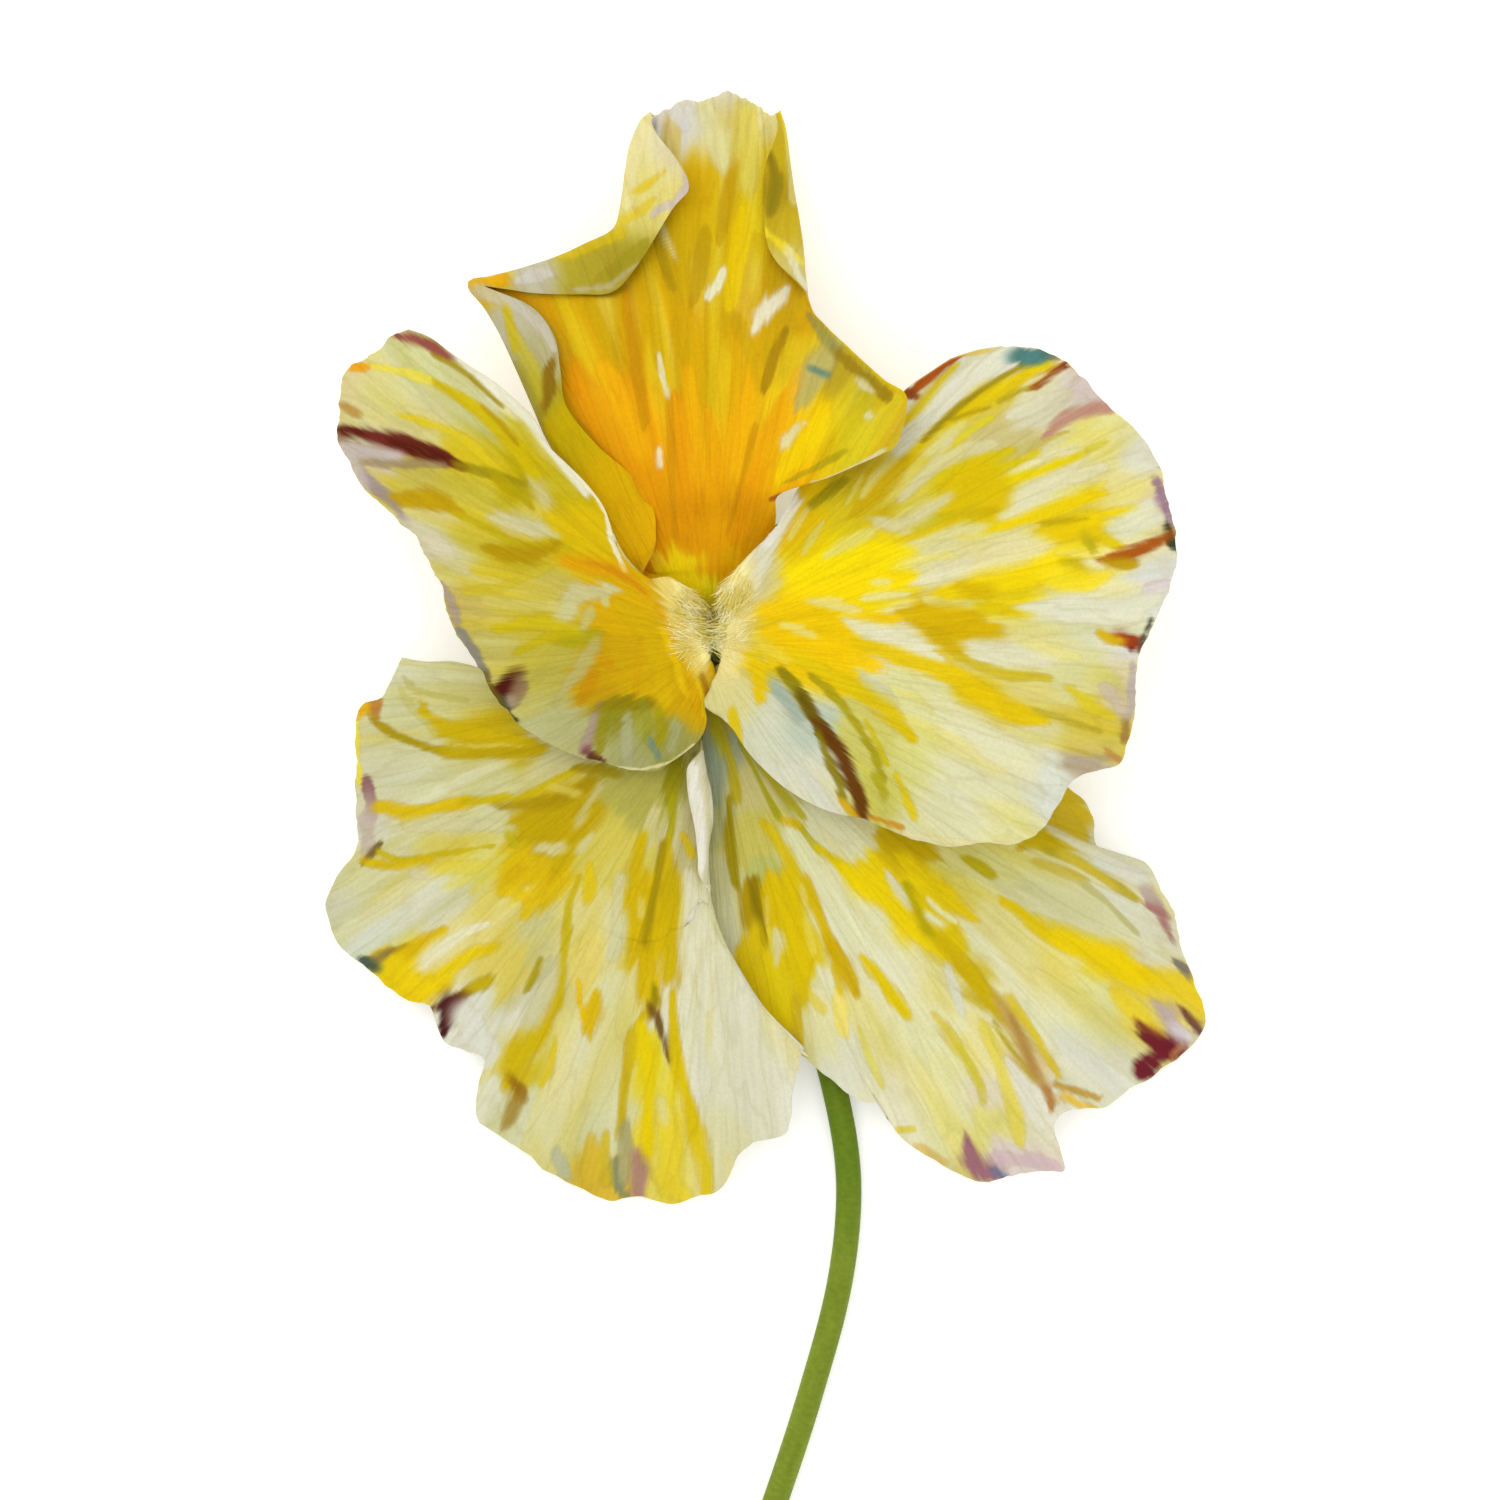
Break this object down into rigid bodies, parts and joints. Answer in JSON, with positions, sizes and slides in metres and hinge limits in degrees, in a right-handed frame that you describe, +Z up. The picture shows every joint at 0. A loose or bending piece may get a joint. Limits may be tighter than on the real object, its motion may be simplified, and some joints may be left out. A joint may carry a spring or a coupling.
{
  "type": "pansy flower",
  "caption": "Picked pansy lying face up: overlapping waved petals, the spurred one uppermost and rolled at its edges, green sepals behind, and a bent stem.",
  "frame": {"origin": "on the surface, under the flat belly of the stem where its bend touches down, just below the bloom's middle", "axes": "+Z points up out of the face of the bloom; +Y points along the spurred petal, away from the cut end of the stem; +X points to the right as the face is seen"},
  "size_m": [0.066, 0.132, 0.0145],
  "materials": {
    "gold_petal": "velvety, golden orange with paler rolled edges",
    "cream_petal": "velvety, cream and yellow with maroon flecks",
    "green_sepal": "satin leaf green",
    "green_stem": "satin green, smooth",
    "green_stigma": "moist yellow-green",
    "orange_anther": "matt orange"
  },
  "bodies": {
    "root": {"petal_spurred": "gold_petal", "petal_side_left": "cream_petal", "petal_side_right": "cream_petal", "petal_back_left": "cream_petal", "petal_back_right": "cream_petal", "sepal_1": "green_sepal", "sepal_2": "green_sepal", "sepal_3": "green_sepal", "sepal_4": "green_sepal", "sepal_5": "green_sepal", "stem": "green_stem", "pistil": "green_stigma", "stamens": "orange_anther"}
  },
  "joints": []
}
